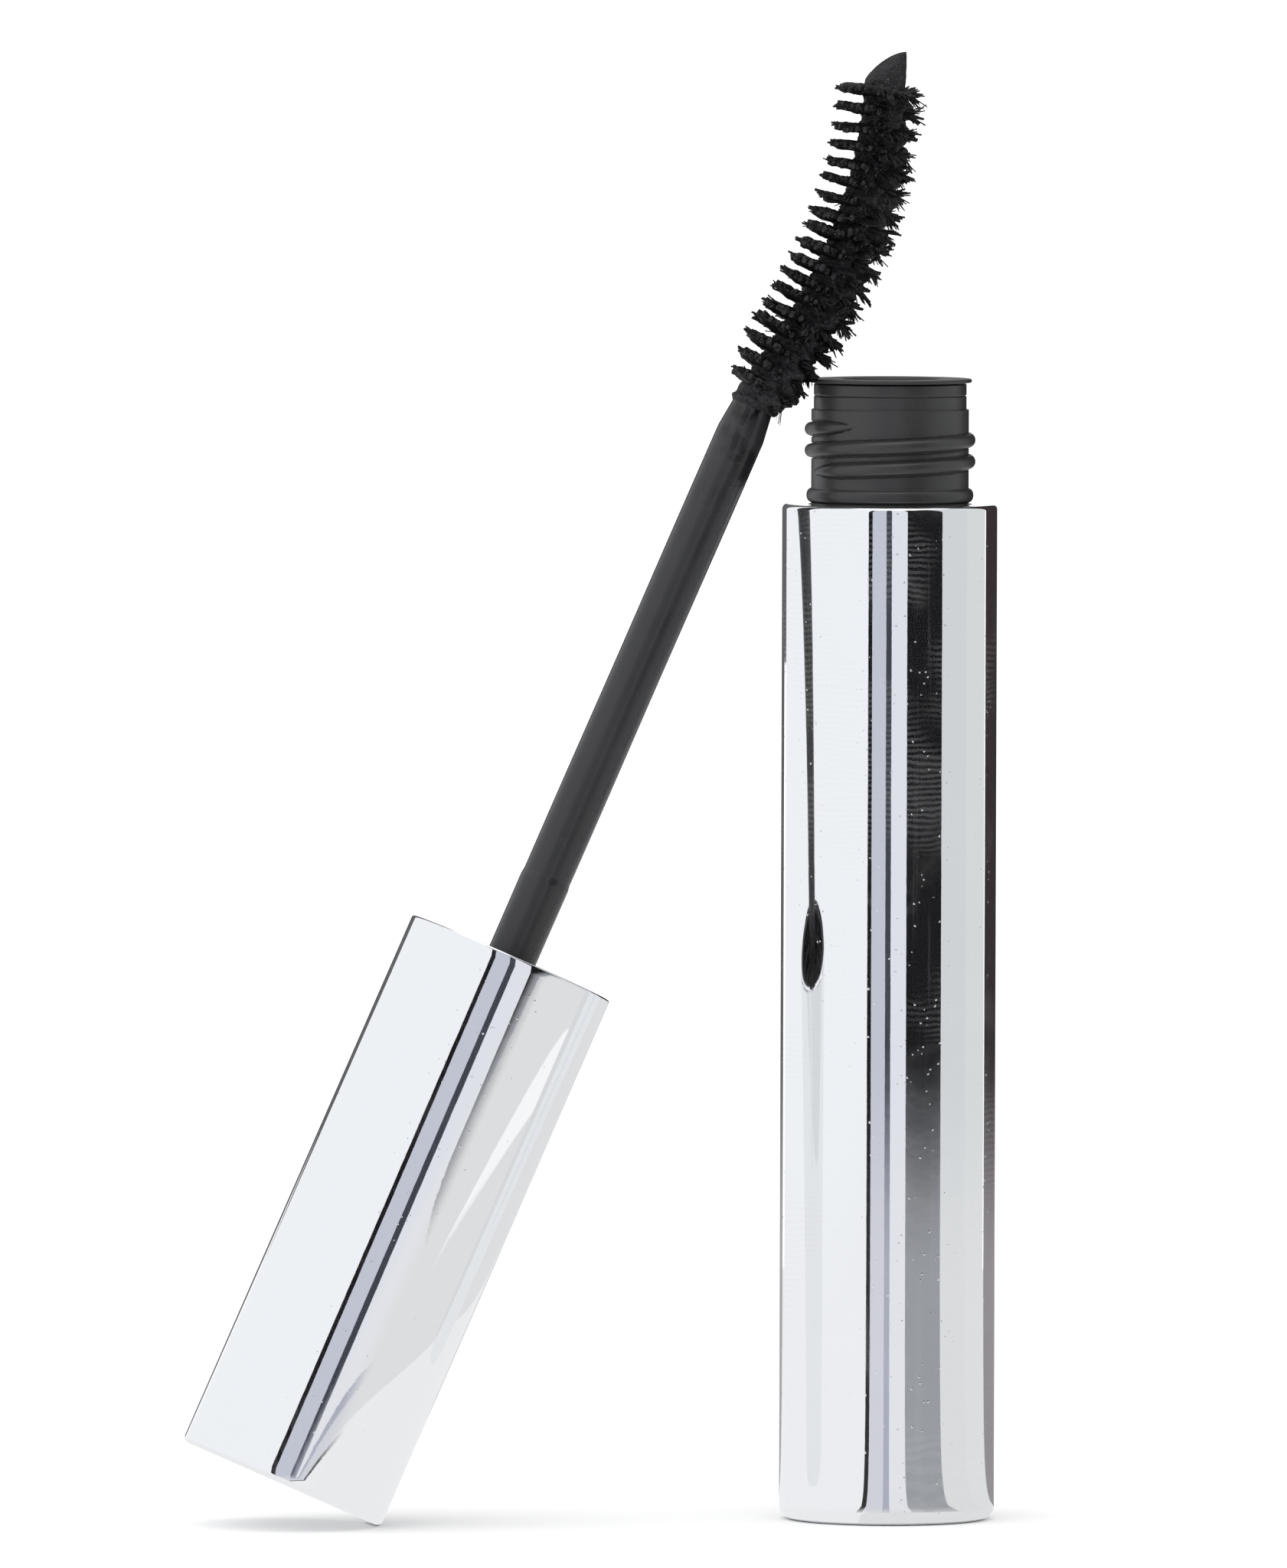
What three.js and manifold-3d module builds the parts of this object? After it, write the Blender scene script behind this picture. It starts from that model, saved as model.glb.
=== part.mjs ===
// Mascara tube: a metallised vial with a threaded neck and a wiper, and its wand standing beside
// it on its cap, leaning on the neck, with the twisted-wire brush pointing up.
// Millimetres, +Z up. The origin is the centre of the vial's base, on the table.

import * as THREE from 'three';
import { mergeVertices } from 'three/addons/utils/BufferGeometryUtils.js';
import { ParametricGeometry } from 'three/addons/geometries/ParametricGeometry.js';
import Module from 'manifold-3d';

const wasm = await Module();
wasm.setup();

// ---- driving dimensions ----

const bodyDiameter = 17; // outer shell of the vial, and of the cap
const clearance = 0.2; // between shells that slide into each other
const seatGap = 0.3; // between pieces that rest on each other

const shellHeight = 80.3;
const shellWall = 1.2;
const shellTopEdge = 0.45;
const shellBaseEdge = 1.1;
const plugThickness = 0.9;

const vialWall = 1.0;
const vialBottomThickness = 1.0;
const vialCornerRadius = 1.0;

const neckHeight = 9.9; // from the shell's top to the top of the wiper's flange
const neckDiameter = 12.45;
const neckStepDepth = 0.19; // how much slimmer the neck is above its step
const neckStepDrop = 2.4; // the step's depth below the neck's top
const neckGrooveDrop = 1.27;
const neckGrooveDepth = 0.1;
const neckGrooveWidth = 0.12;
const neckWall = 1.725;
const beadDepth = 0.375; // the ring that snaps over the shell's top stands out this far
const beadWidth = 1.1;
const beadRise = 0.7; // its middle above the shell's top

const threadDepth = 0.525;
const threadPitch = 1.7;
const threadWidth = 1.1;
const threadTurns = 2.125;
const threadStartDrop = 7.3; // the thread's lower end, below the neck's top
const threadStartAngle = 196.875; // degrees, counter-clockwise from +X seen from above
const threadDepthInWall = 0.12; // how far the ridge is sunk into the wall it stands on
const threadRunOut = 0.09; // turns over which the ridge's ends fade out

const wiperFlangeOverhang = 0.415; // past the slimmer top of the neck
const wiperFlangeThickness = 0.3;
const wiperWall = 0.75;
const wiperDepth = 11;
const wiperConeLength = 3.6;
const rodPlay = 0.1; // round the rod in the wiper's lip
const wiperLip = 0.8;

const capLength = 45.2;
const capWall = 0.75;
const capEndThickness = 0.9;
const capEndEdge = 0.45;
const capMouthEdge = 0.2;

const innerCapRecess = 0.4; // below the cap's mouth
const innerCapLength = 30;
const innerCapSkirtWall = 1.0;
const innerCapWeb = 1.6;
const socketBossWall = 1.4;
const socketDepth = 5;
const capThreadWidth = 0.5;
const capThreadTurns = 2.5;
const capThreadRunIn = 1.6; // below the inner cap's rim

const rodDiameter = 4.0;
const rodStepDepth = 0.07; // how much slimmer it is past the moulding step
const rodStepHeight = 6.5; // above the cap's mouth
const rodTipWall = 0.67; // round the wire's bore
const rodTaperLength = 3.2;
const wireSeatDepth = 7;

const brushLength = 29.6;
const brushTipPlay = 0.3; // over the vial's floor when the cap is screwed down
const brushBow = 1.9; // how far the brush bends towards its leaning side
const brushHook = 1.9; // how far its tip curls back the other way
const wireStrandDiameter = 0.62;
const wireStrandOffset = 0.27; // from the twist's axis to each strand's
const wireTipSetback = 1.6;
const wireEndShare = 0.015; // of its length, over which each end is rounded off
const bristleTurns = 18;
const bristlePitch = 1.48;
const bristleStart = 0.9; // first turn, above the rod's end
const bristleThickness = 0.5;
const bristleSpikes = 12;
const bristleBaseDiameter = 7.7;
const bristleTipDiameter = 6.9;
const bristleHeelTurns = 2.5; // the first turns are shorter, the nearer they are to the rod
const bristleHeelTrim = 2.0; // off the first one's diameter
const bristleHubWall = 0.9;
const spikeTrim = 0.1; // step by which a spike is shortened where it meets the neck

const lean = 23.9; // the wand's tilt from upright, in degrees
const leanTurn = 11; // degrees from +X to the upright plane that the wand leans in
const standOff = 3.33; // from the wand's axis to the rim it leans on, through the fibres

const shellSides = 40;
const innerSides = 32;
const threadSteps = innerSides; // per turn
const ridgeSides = 8;
const wireSides = 10;
const wireSteps = 90;
const cornerSteps = 5;
const shortestEdge = 0.005; // joins leave no sliver finer than this

// ---- sizes that follow ----

const bodyRadius = bodyDiameter / 2;
const shellBore = bodyRadius - shellWall;
const vialRadius = shellBore - clearance;
const vialBase = plugThickness + clearance;
const vialFloor = vialBase + vialBottomThickness;
const vialShoulder = shellHeight - shellWall - clearance;
const neckTop = shellHeight + neckHeight;
const neckTopRadius = neckDiameter / 2 - neckStepDepth;
const flangeRadius = neckTopRadius + wiperFlangeOverhang;
const neckRim = neckTop - wiperFlangeThickness - clearance / 2;
const neckRadius = neckDiameter / 2;
const boreRadius = neckRadius - neckWall;
const threadRadius = neckRadius + threadDepth;

const innerCapRadius = bodyRadius - capWall - clearance;
const threadSocketRadius = threadRadius + clearance;
const innerCapRim = capLength - innerCapRecess;
const webTop = capLength - neckHeight - clearance;
const webUnder = webTop - innerCapWeb;
const rodRadius = rodDiameter / 2;
const rodSocketRadius = rodRadius + seatGap;
const bossRadius = rodSocketRadius + socketBossWall;
const bossEnd = webUnder - socketDepth;
const rodRoot = bossEnd + socketBossWall + seatGap;
const rodLength = shellHeight - vialFloor - brushTipPlay - brushLength; // out of the cap
const rodEnd = capLength + rodLength;
const wireRadius = wireStrandOffset + wireStrandDiameter / 2;
const wireBoreRadius = wireRadius + seatGap;
const brushEnd = rodEnd + brushLength;

const radians = THREE.MathUtils.degToRad;

// the cap stands on the edge of its closed end, which is what touches the table
const footHeight = (bodyRadius - capEndEdge) * Math.sin(radians(lean))
  + capEndEdge * (1 - Math.cos(radians(lean)));
const tilt = new THREE.Quaternion().setFromAxisAngle(new THREE.Vector3(0, 1, 0), radians(lean));
// and is set back from the vial so that its fibres lean on the flange
const footReach = flangeRadius
  + (standOff + (neckTop - footHeight) * Math.sin(radians(lean))) / Math.cos(radians(lean));
const foot = new THREE.Vector3(-footReach, 0, footHeight);

// ---- helpers ----

// points round a corner, from one angle to another, in degrees
function corner(r, z, radius, from, to, steps = cornerSteps) {
  return Array.from({ length: steps + 1 }, (_, i) => {
    const a = radians(from + ((to - from) * i) / steps);
    return [r + radius * Math.cos(a), z + radius * Math.sin(a)];
  });
}

// a solid of revolution about Z, from a counter-clockwise outline of [radius, height] points
function turned(outline, sides) {
  const points = outline.map(([r, z]) => new THREE.Vector2(r, z));
  return new THREE.LatheGeometry(points, sides).rotateX(Math.PI / 2);
}

// the same for a ring, whose outline closes on itself
function turnedRing(outline, sides) {
  return turned([...outline, outline[0]], sides);
}

// one shared vertex per corner, without the triangles that collapse at a pole
function weld(geometry) {
  geometry.deleteAttribute('normal');
  geometry.deleteAttribute('uv');
  const merged = mergeVertices(geometry, 1e-5);
  const index = Array.from(merged.index.array);
  const kept = [];
  for (let i = 0; i < index.length; i += 3) {
    const [a, b, c] = index.slice(i, i + 3);
    if (a !== b && b !== c && c !== a) kept.push(a, b, c);
  }
  merged.setIndex(kept);
  return merged;
}

function toSolid(geometry) {
  const welded = weld(geometry);
  return new wasm.Manifold(new wasm.Mesh({
    numProp: 3,
    vertProperties: new Float32Array(welded.attributes.position.array),
    triVerts: new Uint32Array(welded.index.array),
  }));
}

function joined(first, second) {
  const mesh = toSolid(first).add(toSolid(second)).simplify(shortestEdge).getMesh();
  const geometry = new THREE.BufferGeometry();
  geometry.setAttribute('position', new THREE.BufferAttribute(mesh.vertProperties, 3));
  geometry.setIndex(new THREE.BufferAttribute(mesh.triVerts, 1));
  return geometry;
}

// a closed surface swept from v = 0 to 1; it has to shrink to a point at both ends
function swept(surface, sides, steps) {
  return weld(new ParametricGeometry(surface, sides, steps));
}

// a helical ridge, standing out of its wall in a half oval and tapered to nothing at its ends
function helicalRidge({ wall, crest, width, bottom, turns, startAngle }) {
  const side = Math.sign(crest - wall);
  const middle = wall - (side * threadDepthInWall) / 2;
  const outward = Math.abs(crest - middle);
  const sunk = threadDepthInWall / 2;
  const taper = threadRunOut / turns;
  const surface = (u, v, target) => {
    const turn = radians(startAngle) + v * turns * 2 * Math.PI;
    const size = Math.sqrt(THREE.MathUtils.clamp(Math.min(v, 1 - v) / taper, 0, 1));
    const around = -side * u * 2 * Math.PI;
    const reach = Math.cos(around) > 0 ? outward : sunk;
    const r = middle + side * size * reach * Math.cos(around);
    const z = bottom + v * turns * threadPitch + size * (width / 2) * Math.sin(around);
    target.set(r * Math.cos(turn), r * Math.sin(turn), z);
  };
  return swept(surface, ridgeSides, Math.round(threadSteps * turns));
}

// the wand's centre line: straight through cap and rod, then bowed along the brush
function centreLine(z, target) {
  const u = THREE.MathUtils.clamp((z - rodEnd) / brushLength, 0, 1);
  return target.set(brushBow * Math.sin(Math.PI * u) - brushHook * u ** 3, 0, z);
}

// the place on the centre line at height z, square to it
function frameOnCentreLine(z) {
  const here = centreLine(z, new THREE.Vector3());
  const ahead = centreLine(z + 0.01, new THREE.Vector3()).sub(here).normalize();
  const turn = new THREE.Quaternion().setFromUnitVectors(new THREE.Vector3(0, 0, 1), ahead);
  return new THREE.Matrix4().compose(here, turn, new THREE.Vector3(1, 1, 1));
}

// ---- the vial ----

function bottleShell() {
  return turnedRing([
    [shellBore, 0],
    ...corner(bodyRadius - shellBaseEdge, shellBaseEdge, shellBaseEdge, -90, 0),
    ...corner(bodyRadius - shellTopEdge, shellHeight - shellTopEdge, shellTopEdge, 0, 90),
    [neckRadius + clearance, shellHeight],
    [neckRadius + clearance, shellHeight - shellWall],
    [shellBore, shellHeight - shellWall],
  ], shellSides);
}

function basePlug() {
  const radius = shellBore - clearance;
  return turned([[0, 0], [radius, 0], [radius, plugThickness], [0, plugThickness]], shellSides);
}

// the moulded vial: bottle, shoulder, snap bead and threaded neck in one piece
function innerBottle() {
  const step = neckTop - neckStepDrop;
  const groove = neckTop - neckGrooveDrop;
  const beadMiddle = shellHeight + beadRise;
  const bead = corner(0, 0, 1, -90, 90).map(([r, z]) => [
    neckRadius + beadDepth * r, beadMiddle + (beadWidth / 2) * z]);
  const innerRadius = vialRadius - vialWall;
  const flare = innerRadius - boreRadius;
  const body = turned([
    [0, vialBase],
    ...corner(vialRadius - vialCornerRadius, vialBase + vialCornerRadius, vialCornerRadius, -90, 0, 3),
    [vialRadius, vialShoulder],
    [neckRadius, vialShoulder],
    ...bead,
    [neckRadius, step],
    [neckTopRadius, step],
    [neckTopRadius, groove - neckGrooveWidth],
    [neckTopRadius - neckGrooveDepth, groove - neckGrooveWidth],
    [neckTopRadius - neckGrooveDepth, groove],
    [neckTopRadius, groove],
    [neckTopRadius, neckRim],
    [boreRadius, neckRim],
    [boreRadius, vialShoulder - vialWall],
    [innerRadius, vialShoulder - vialWall - flare],
    [innerRadius, vialFloor],
    [0, vialFloor],
  ], innerSides);
  const thread = helicalRidge({
    wall: neckRadius,
    crest: threadRadius,
    width: threadWidth,
    bottom: neckTop - threadStartDrop,
    turns: threadTurns,
    startAngle: threadStartAngle,
  });
  return joined(body, thread);
}

// the soft ring that strips the brush: flange on the neck, sleeve in its bore, cone and lip
function wiper() {
  const sleeve = boreRadius - clearance;
  const bore = sleeve - wiperWall;
  const lipBottom = neckTop - wiperDepth;
  const lip = rodRadius + rodPlay;
  return turnedRing([
    [lip, lipBottom],
    [lip + wiperWall, lipBottom],
    [sleeve, lipBottom + wiperConeLength],
    [sleeve, neckTop - wiperFlangeThickness],
    [flangeRadius, neckTop - wiperFlangeThickness],
    [flangeRadius, neckTop],
    [bore + wiperWall / 2, neckTop],
    [bore, neckTop - wiperWall / 2],
    [bore, lipBottom + wiperConeLength],
    [lip, lipBottom + wiperLip],
  ], innerSides);
}

// ---- the wand, along its own Z from the cap's closed end ----

function capShell() {
  const bore = bodyRadius - capWall;
  return turned([
    [0, 0],
    ...corner(bodyRadius - capEndEdge, capEndEdge, capEndEdge, -90, 0),
    ...corner(bodyRadius - capMouthEdge, capLength - capMouthEdge, capMouthEdge, 0, 90, 2),
    [bore, capLength],
    [bore, capEndThickness],
    [0, capEndThickness],
  ], shellSides);
}

// the moulded insert: a threaded socket for the neck, a web, and a boss that holds the rod
function innerCap() {
  const end = innerCapRim - innerCapLength;
  const skirtBore = innerCapRadius - innerCapSkirtWall;
  const body = turned([
    [0, bossEnd],
    [bossRadius, bossEnd],
    [bossRadius, webUnder],
    [skirtBore, webUnder],
    [skirtBore, end],
    [innerCapRadius, end],
    [innerCapRadius, innerCapRim],
    [threadSocketRadius, innerCapRim],
    [threadSocketRadius, webTop],
    [rodSocketRadius, webTop],
    [rodSocketRadius, bossEnd + socketBossWall],
    [0, bossEnd + socketBossWall],
  ], innerSides);
  const thread = helicalRidge({
    wall: threadSocketRadius,
    crest: neckRadius + clearance,
    width: capThreadWidth,
    bottom: innerCapRim - capThreadRunIn - capThreadTurns * threadPitch,
    turns: capThreadTurns,
    startAngle: threadStartAngle,
  });
  return joined(body, thread);
}

function rod() {
  const necked = rodRadius - rodStepDepth;
  const step = capLength + rodStepHeight;
  return turned([
    [0, rodRoot],
    [rodRadius, rodRoot],
    [rodRadius, step],
    [necked, step + rodRadius - necked],
    [necked, rodEnd - rodTaperLength],
    [wireBoreRadius + rodTipWall, rodEnd],
    [wireBoreRadius, rodEnd],
    [wireBoreRadius, rodEnd - wireSeatDepth],
    [0, rodEnd - wireSeatDepth],
  ], innerSides);
}

// two strands twisted together, as one body with a waisted section that turns as it climbs
function brushWire() {
  const bottom = rodEnd - wireSeatDepth + seatGap;
  const top = brushEnd - wireTipSetback;
  const surface = (u, v, target) => {
    const size = Math.sqrt(THREE.MathUtils.clamp(Math.min(v, 1 - v) / wireEndShare, 0, 1));
    const z = bottom + (top - bottom) * v;
    const around = u * 2 * Math.PI;
    const twist = (Math.PI * (z - bottom)) / bristlePitch;
    const waist = (wireStrandDiameter / 2 + wireRadius) / 2;
    const r = size * (waist + (wireRadius - waist) * Math.cos(2 * around));
    centreLine(z, target);
    target.x += r * Math.cos(around + twist);
    target.y += r * Math.sin(around + twist);
  };
  return swept(surface, wireSides, wireSteps);
}

// how far a spike can reach before the neck, which bends the fibres that lean on it
function spikeReach(longest, shortest, angle, z) {
  const tip = new THREE.Vector3();
  const neckClearRadius = Math.max(flangeRadius, neckRadius) + seatGap;
  const clearOfNeck = (r) => {
    tip.set(r * Math.cos(angle), r * Math.sin(angle), 0);
    const at = tip.applyMatrix4(frameOnCentreLine(z)).applyQuaternion(tilt).add(foot);
    return Math.hypot(at.x, at.y) > neckClearRadius || at.z > neckTop + seatGap + bristleThickness;
  };
  let reach = longest;
  while (reach > shortest && !clearOfNeck(reach)) reach -= spikeTrim;
  return Math.max(reach, shortest);
}

// one turn of fibres: a ring round the wire with spikes all the way round
function bristleTurn(i) {
  const share = i / (bristleTurns - 1);
  const z = rodEnd + bristleStart + i * bristlePitch;
  const hub = wireRadius + seatGap;
  const valley = hub + bristleHubWall;
  const heel = Math.max(0, 1 - i / bristleHeelTurns);
  const diameter = THREE.MathUtils.lerp(bristleBaseDiameter, bristleTipDiameter, share)
    - bristleHeelTrim * heel;
  const halfStep = Math.PI / bristleSpikes;
  const star = new THREE.Shape();
  for (let k = 0; k < bristleSpikes * 2; k++) {
    const a = (k + (i % 2)) * halfStep;
    const r = k % 2 ? valley : spikeReach(diameter / 2, valley, a, z);
    if (k === 0) star.moveTo(r * Math.cos(a), r * Math.sin(a));
    else star.lineTo(r * Math.cos(a), r * Math.sin(a));
  }
  star.closePath();
  star.holes.push(new THREE.Path().absarc(0, 0, hub, 0, 2 * Math.PI, true));
  const flat = new THREE.ExtrudeGeometry(star, {
    depth: bristleThickness, bevelEnabled: false, curveSegments: bristleSpikes / 2,
  });
  flat.translate(0, 0, -bristleThickness / 2);
  return flat.applyMatrix4(frameOnCentreLine(z));
}

// ---- finishes ----

const finish = (color, roughness, metalness) => () =>
  new THREE.MeshStandardMaterial({ color, roughness, metalness });

const chrome = finish(0xdcdee0, 0.06, 1);
const blackPlastic = finish(0x3a3a3c, 0.42, 0);
const softBlack = finish(0x3c3c3e, 0.5, 0);
const steel = finish(0x9a9b9d, 0.3, 1);
const fibre = finish(0x0e0c0e, 0.6, 0);

function piece(name, geometry, material) {
  const mesh = new THREE.Mesh(geometry, material());
  mesh.name = name;
  return mesh;
}

// ---- assembly ----

const vial = new THREE.Group();
vial.add(
  piece('bottle_shell', bottleShell(), chrome),
  piece('base_plug', basePlug(), chrome),
  piece('inner_bottle', innerBottle(), blackPlastic),
  piece('wiper', wiper(), softBlack),
);

const wand = new THREE.Group();
wand.add(
  piece('cap_shell', capShell(), chrome),
  piece('inner_cap', innerCap(), blackPlastic),
  piece('rod', rod(), blackPlastic),
  piece('brush_wire', brushWire(), steel),
);
for (let i = 0; i < bristleTurns; i++) {
  wand.add(piece(`bristle_turn_${String(i + 1).padStart(2, '0')}`, bristleTurn(i), fibre));
}

wand.quaternion.copy(tilt);
wand.position.copy(foot);

const leanPlane = new THREE.Group();
leanPlane.rotation.z = radians(leanTurn);
leanPlane.add(wand);

const mascaraTube = new THREE.Group();
mascaraTube.add(vial, leanPlane);

export default mascaraTube;
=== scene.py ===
# %% [markdown]
# A mascara tube, open: the metallised vial with its black threaded neck, and the wand standing
# beside it on its cap, leaning on the neck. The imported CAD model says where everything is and
# how big it is. Blender adds what the eye sees: smooth metal, moulded threads, real fibres,
# the product that clogs them, and a finish for each material.

# %% Load the frame
import math

import bpy
import numpy as np
from mathutils import Matrix


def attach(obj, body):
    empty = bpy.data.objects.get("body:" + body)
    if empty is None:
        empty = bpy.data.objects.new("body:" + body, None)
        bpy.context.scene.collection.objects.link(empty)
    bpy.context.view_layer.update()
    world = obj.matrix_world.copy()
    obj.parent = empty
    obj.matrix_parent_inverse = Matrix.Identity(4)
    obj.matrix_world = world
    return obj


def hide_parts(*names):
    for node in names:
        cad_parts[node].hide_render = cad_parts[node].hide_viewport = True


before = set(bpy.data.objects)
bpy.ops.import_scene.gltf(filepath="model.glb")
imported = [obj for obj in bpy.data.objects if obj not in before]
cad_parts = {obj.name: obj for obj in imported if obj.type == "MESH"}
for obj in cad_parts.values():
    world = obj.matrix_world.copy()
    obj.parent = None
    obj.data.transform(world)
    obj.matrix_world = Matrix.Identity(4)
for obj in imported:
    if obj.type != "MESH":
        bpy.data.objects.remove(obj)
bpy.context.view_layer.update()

MM = 0.001  # the frame is in metres, and every size below is written in millimetres times this
TURN = 2 * math.pi  # a full turn, in radians
SCENE = bpy.context.scene

# %% [markdown]
# A turned part is described by radii and heights along its own axis. The vial stands on the
# frame's Z axis. The wand leans, so its axis has to be found: a turned solid's points spread
# most along its axis, and the spread's longest direction is an eigenvector of its covariance.

# %% Measure the CAD nodes


def node_points(node):
    """The node's vertices, as an array of one row of X, Y and Z for each."""
    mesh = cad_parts[node].data
    flat = np.empty(len(mesh.vertices) * 3, dtype=np.float32)
    mesh.vertices.foreach_get("co", flat)
    return flat.reshape(-1, 3).astype(float)


def wand_frame():
    """A matrix whose Z runs up the wand from the centre of the cap's closed end, whose X lies in
    the upright plane that the wand leans in, pointing down, and whose Y is square to both."""
    points = node_points("cap_shell")
    middle = points.mean(axis=0)
    axis = np.linalg.eigh(np.cov(points.T))[1][:, -1]
    axis = axis * np.sign(axis[2])
    sideways = np.array([axis[0], axis[1], 0.0]) / np.hypot(axis[0], axis[1])
    across = sideways * axis[2] - np.array([0, 0, np.hypot(axis[0], axis[1])])
    foot = middle + axis * ((points - middle) @ axis).min()
    matrix = np.eye(4)
    matrix[:3, 0], matrix[:3, 1], matrix[:3, 2] = across, np.cross(axis, across), axis
    matrix[:3, 3] = foot
    return matrix


UPRIGHT = np.eye(4)
WAND = wand_frame()


def in_place(points, place):
    """Points turned and moved by a matrix, whatever the array's other dimensions."""
    return points @ place[:3, :3].T + place[:3, 3]


def measured(node, place=UPRIGHT, low=-1.0, high=1.0):
    """Smallest and largest radius, and lowest and highest point, of the node's vertices whose
    height along the axis is between low and high."""
    local = (node_points(node) - place[:3, 3]) @ place[:3, :3]
    local = local[(local[:, 2] >= low) & (local[:, 2] <= high)]
    radius = np.hypot(local[:, 0], local[:, 1])
    return radius.min(), radius.max(), local[:, 2].min(), local[:, 2].max()


neck_hole, body_radius, shell_base, shell_top = measured("bottle_shell")
hair = 0.01 * MM  # tells one wall from the next
shell_bore = measured("bottle_shell", high=shell_base + hair)[0]
lip_radius, flange_radius, wiper_foot, neck_top = measured("wiper")
_, vial_radius, vial_base, neck_rim = measured("inner_bottle")
neck_bore, neck_top_radius, _, _ = measured("inner_bottle", low=neck_rim - hair)
_, _, _, cap_length = measured("cap_shell", WAND)
_, insert_radius, insert_foot, insert_rim = measured("inner_cap", WAND)
_, rod_radius, rod_root, rod_end = measured("rod", WAND)
_, wire_radius, wire_foot, _ = measured("brush_wire", WAND, high=rod_end)
wire_top = measured("brush_wire", WAND)[3]
print(f"vial {2 * body_radius / MM:.1f} across, {shell_top / MM:.1f} to its shoulder, "
      f"{neck_top / MM:.1f} to its mouth; wand's lean "
      f"{math.degrees(math.acos(WAND[2, 2])):.1f} degrees, rod ends at {rod_end / MM:.1f}")

# %% [markdown]
# Every hard piece here is a turned one, or a tube along a path. Both are grids of points whose
# columns close round. A profile that closes on itself makes a ring, and one that starts and
# ends on the axis makes a body with a pole at each end, which is one shared vertex.

# %% Turn grids of points into meshes


def grid_faces(rows, columns, ring):
    """Quads between neighbouring rows and columns, wound so that a wall that climbs in its rows
    and runs anticlockwise in its columns faces outwards. In a ring the last row meets the first."""
    row = np.arange(rows if ring else rows - 1)[:, None]
    column = np.arange(columns)[None, :]
    above, beside = (row + 1) % rows, (column + 1) % columns
    corners = (row * columns + column, row * columns + beside,
               above * columns + beside, above * columns + column)
    return np.stack(corners, axis=-1).reshape(-1, 4)


def pole_faces(rows, columns, first_pole, last_pole):
    """Triangles from the first row to one pole and from the last row to the other."""
    column = np.arange(columns)
    beside = (column + 1) % columns
    first = np.full(columns, first_pole)
    last = np.full(columns, last_pole)
    top = (rows - 1) * columns
    return (np.stack((first, beside, column), axis=-1),
            np.stack((top + column, top + beside, last), axis=-1))


# %% Make a mesh object


def placed(name, data):
    """A new object in the scene that shows this data."""
    thing = bpy.data.objects.new(name, data)
    SCENE.collection.objects.link(thing)
    return thing


def make_piece(name, vertices, faces, body, slot, material, sharp=40):
    """A mesh object from whole arrays, smooth except across edges sharper than that angle. It rides
    on its body and wears the material that it is given; the slot is not used."""
    mesh = bpy.data.meshes.new(name)
    mesh.from_pydata(vertices, [], faces)
    mesh.validate()
    mesh.shade_smooth()
    mesh.set_sharp_from_angle(angle=math.radians(sharp))
    mesh.materials.append(material)
    piece = placed(name, mesh)
    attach(piece, body)
    print(f"{name}: {len(mesh.polygons)} faces")
    return piece


# %% Close a grid into a body


def closed_grid(points, ring):
    """Vertices and faces of a grid of points, as a ring, or with its first and last rows drawn
    together into poles."""
    rows, columns = points.shape[:2]
    if ring:
        return points.reshape(-1, 3), grid_faces(rows, columns, True).tolist()
    wall = points[1:-1]
    count = (rows - 2) * columns
    vertices = np.concatenate((wall.reshape(-1, 3), points[:1, 0], points[-1:, 0]))
    first, last = pole_faces(rows - 2, columns, count, count + 1)
    faces = grid_faces(rows - 2, columns, False).tolist() + first.tolist() + last.tolist()
    return vertices, faces


# %% Round a profile's corners


def outline(corners, ring=False, bend=10):
    """A profile from corners of (radius, height, rounding, step), the last two in millimetres.
    Each corner is cut back by its rounding's tangent and bridged by a circular arc, and the
    straight stretch after it gets a point every step. The arc is a rational parabola whose middle
    weight is the sine of half the corner's angle, which makes it exactly circular."""
    spots = np.array([[c[0], c[1]] for c in corners])
    count = len(corners)
    pieces = []
    for k, (_, _, rounding, _) in enumerate(corners):
        if rounding == 0 or (not ring and k in (0, count - 1)):
            pieces.append(spots[k:k + 1])
            continue
        back = spots[k - 1] - spots[k]
        ahead = spots[(k + 1) % count] - spots[k]
        back, ahead = back / np.hypot(*back), ahead / np.hypot(*ahead)
        half = math.acos(np.clip(back @ ahead, -1, 1)) / 2
        tangent = rounding * MM / math.tan(half)
        start, end = spots[k] + back * tangent, spots[k] + ahead * tangent
        s = np.linspace(0, 1, bend)[:, None]
        a, b, c = (1 - s) ** 2, 2 * s * (1 - s) * math.sin(half), s ** 2
        pieces.append((a * start + b * spots[k] + c * end) / (a + b + c))
    rows = []
    for k, piece in enumerate(pieces):
        rows.append(piece)
        if k == count - 1 and not ring:
            break
        start, end = piece[-1], pieces[(k + 1) % count][0]
        steps = max(1, int(np.hypot(*(end - start)) / (corners[k][3] * MM)))
        s = np.linspace(0, 1, steps + 1)[1:-1, None]
        rows.append(start + (end - start) * s)
    return np.concatenate(rows)


# %% Turn a profile about an axis


def turned(profile, sides, place=UPRIGHT, push=None):
    """The surface of revolution of a profile: radius times the cosine and sine of the angle, and
    height. push(angle, radius, height) says how far each point is moved out or in."""
    angle = np.arange(sides) / sides * TURN
    radius = profile[:, :1] + 0 * angle
    height = profile[:, 1:] + 0 * angle
    if push:
        radius = radius + push(angle[None, :] + 0 * radius, radius, height)
    points = np.stack((radius * np.cos(angle), radius * np.sin(angle), height), axis=-1)
    return in_place(points, place)


def turned_piece(name, corners, sides, body, slot, material,
                 ring=False, bend=10, place=UPRIGHT, push=None, sharp=40):
    """A piece turned from its profile's corners."""
    points = turned(outline(corners, ring, bend), sides, place, push)
    return make_piece(name, *closed_grid(points, ring), body, slot, material, sharp)


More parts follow.
